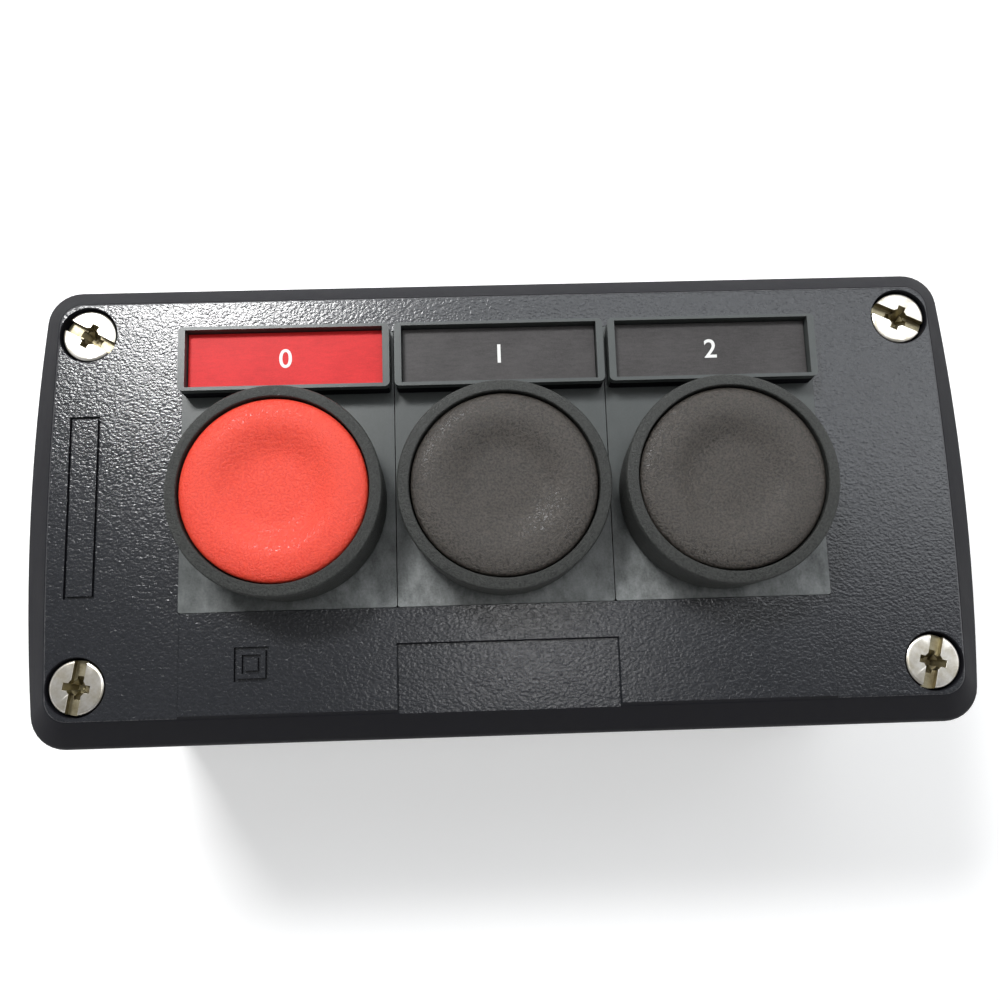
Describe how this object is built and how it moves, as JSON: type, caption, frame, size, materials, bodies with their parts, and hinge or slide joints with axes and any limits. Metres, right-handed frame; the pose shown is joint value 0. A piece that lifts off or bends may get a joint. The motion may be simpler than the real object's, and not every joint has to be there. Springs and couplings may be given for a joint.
{
  "type": "pushbutton control station",
  "caption": "Surface-mounted enclosure with a row of spring-return push heads, legend holders above them and a contact block behind each head.",
  "frame": {"origin": "middle of the flat back of the box", "axes": "+X along the box towards the right-hand button, +Y across the box towards the legends, +Z out of the front face towards the user"},
  "size_m": [0.136, 0.068, 0.0618],
  "materials": {
    "cover_plastic": "fine leather-like grain, satin",
    "base_plastic": "fine grain, satin",
    "seal_rubber": "matt",
    "screw_nickel": "bright nickel plate",
    "holder_plastic": "smooth satin",
    "bezel_plastic": "smooth satin",
    "legend_red": "smooth",
    "legend_black": "smooth",
    "cap_red": "fine blasted grain",
    "cap_black": "fine blasted grain",
    "pusher_plastic": "smooth",
    "nut_plastic": "smooth",
    "spring_steel": "drawn wire",
    "contact_housing": "smooth",
    "contact_brass": "bright",
    "terminal_steel": "zinc plated"
  },
  "bodies": {
    "box": {"base": "base_plastic", "cover": "cover_plastic", "cover_gasket": "seal_rubber", "cover_screw_1": "screw_nickel", "cover_screw_2": "screw_nickel", "cover_screw_3": "screw_nickel", "cover_screw_4": "screw_nickel", "legend_holder_left": "holder_plastic", "legend_insert_left": "legend_red", "head_body_left": "bezel_plastic", "head_seal_left": "seal_rubber", "head_nut_left": "nut_plastic", "return_spring_left": "spring_steel", "contact_housing_left": "contact_housing", "plunger_spring_left": "spring_steel", "terminal_bar_a_left": "contact_brass", "terminal_bar_b_left": "contact_brass", "terminal_screw_a_left": "terminal_steel", "terminal_screw_b_left": "terminal_steel", "legend_holder_middle": "holder_plastic", "legend_insert_middle": "legend_black", "head_body_middle": "bezel_plastic", "head_seal_middle": "seal_rubber", "head_nut_middle": "nut_plastic", "return_spring_middle": "spring_steel", "contact_housing_middle": "contact_housing", "plunger_spring_middle": "spring_steel", "terminal_bar_a_middle": "contact_brass", "terminal_bar_b_middle": "contact_brass", "terminal_screw_a_middle": "terminal_steel", "terminal_screw_b_middle": "terminal_steel", "legend_holder_right": "holder_plastic", "legend_insert_right": "legend_black", "head_body_right": "bezel_plastic", "head_seal_right": "seal_rubber", "head_nut_right": "nut_plastic", "return_spring_right": "spring_steel", "contact_housing_right": "contact_housing", "plunger_spring_right": "spring_steel", "terminal_bar_a_right": "contact_brass", "terminal_bar_b_right": "contact_brass", "terminal_screw_a_right": "terminal_steel", "terminal_screw_b_right": "terminal_steel"},
    "button_left": {"button_cap_left": "cap_red", "pusher_left": "pusher_plastic"},
    "plunger_left": {"contact_plunger_left": "pusher_plastic"},
    "bridge_left": {"contact_bridge_left": "contact_brass", "contact_spring_left": "spring_steel"},
    "button_middle": {"button_cap_middle": "cap_black", "pusher_middle": "pusher_plastic"},
    "plunger_middle": {"contact_plunger_middle": "pusher_plastic"},
    "bridge_middle": {"contact_bridge_middle": "contact_brass", "contact_spring_middle": "spring_steel"},
    "button_right": {"button_cap_right": "cap_black", "pusher_right": "pusher_plastic"},
    "plunger_right": {"contact_plunger_right": "pusher_plastic"},
    "bridge_right": {"contact_bridge_right": "contact_brass", "contact_spring_right": "spring_steel"}
  },
  "joints": [
    {"name": "press_left", "type": "slide", "parent": "box", "child": "button_left", "axis": [0, 0, -1], "range_m": [0, 0.0043], "stiffness_N_per_m": 600, "springref_m": -0.004, "deforming": ["return_spring_left"]},
    {"name": "plunger_slide_left", "type": "slide", "parent": "box", "child": "plunger_left", "axis": [0, 0, -1], "range_m": [0, 0.0043], "stiffness_N_per_m": 120, "springref_m": -0.004, "deforming": ["plunger_spring_left"]},
    {"name": "bridge_slide_left", "type": "slide", "parent": "box", "child": "bridge_left", "axis": [0, 0, -1], "range_m": [0, 0.0028], "deforming": ["contact_spring_left"]},
    {"name": "press_middle", "type": "slide", "parent": "box", "child": "button_middle", "axis": [0, 0, -1], "range_m": [0, 0.0043], "stiffness_N_per_m": 600, "springref_m": -0.004, "deforming": ["return_spring_middle"]},
    {"name": "plunger_slide_middle", "type": "slide", "parent": "box", "child": "plunger_middle", "axis": [0, 0, -1], "range_m": [0, 0.0043], "stiffness_N_per_m": 120, "springref_m": -0.004, "deforming": ["plunger_spring_middle"]},
    {"name": "bridge_slide_middle", "type": "slide", "parent": "box", "child": "bridge_middle", "axis": [0, 0, -1], "range_m": [0, 0.0026], "deforming": ["contact_spring_middle"]},
    {"name": "press_right", "type": "slide", "parent": "box", "child": "button_right", "axis": [0, 0, -1], "range_m": [0, 0.0043], "stiffness_N_per_m": 600, "springref_m": -0.004, "deforming": ["return_spring_right"]},
    {"name": "plunger_slide_right", "type": "slide", "parent": "box", "child": "plunger_right", "axis": [0, 0, -1], "range_m": [0, 0.0043], "stiffness_N_per_m": 120, "springref_m": -0.004, "deforming": ["plunger_spring_right"]},
    {"name": "bridge_slide_right", "type": "slide", "parent": "box", "child": "bridge_right", "axis": [0, 0, -1], "range_m": [0, 0.0026], "deforming": ["contact_spring_right"]}
  ],
  "couplings": [
    {"joint": "plunger_slide_left", "follows": "press_left", "ratio": 1},
    {"joint": "bridge_slide_left", "follows": "press_left", "ratio": 0.6511},
    {"joint": "plunger_slide_middle", "follows": "press_middle", "ratio": 1},
    {"joint": "bridge_slide_middle", "follows": "press_middle", "ratio": 0.6046},
    {"joint": "plunger_slide_right", "follows": "press_right", "ratio": 1},
    {"joint": "bridge_slide_right", "follows": "press_right", "ratio": 0.6046}
  ]
}
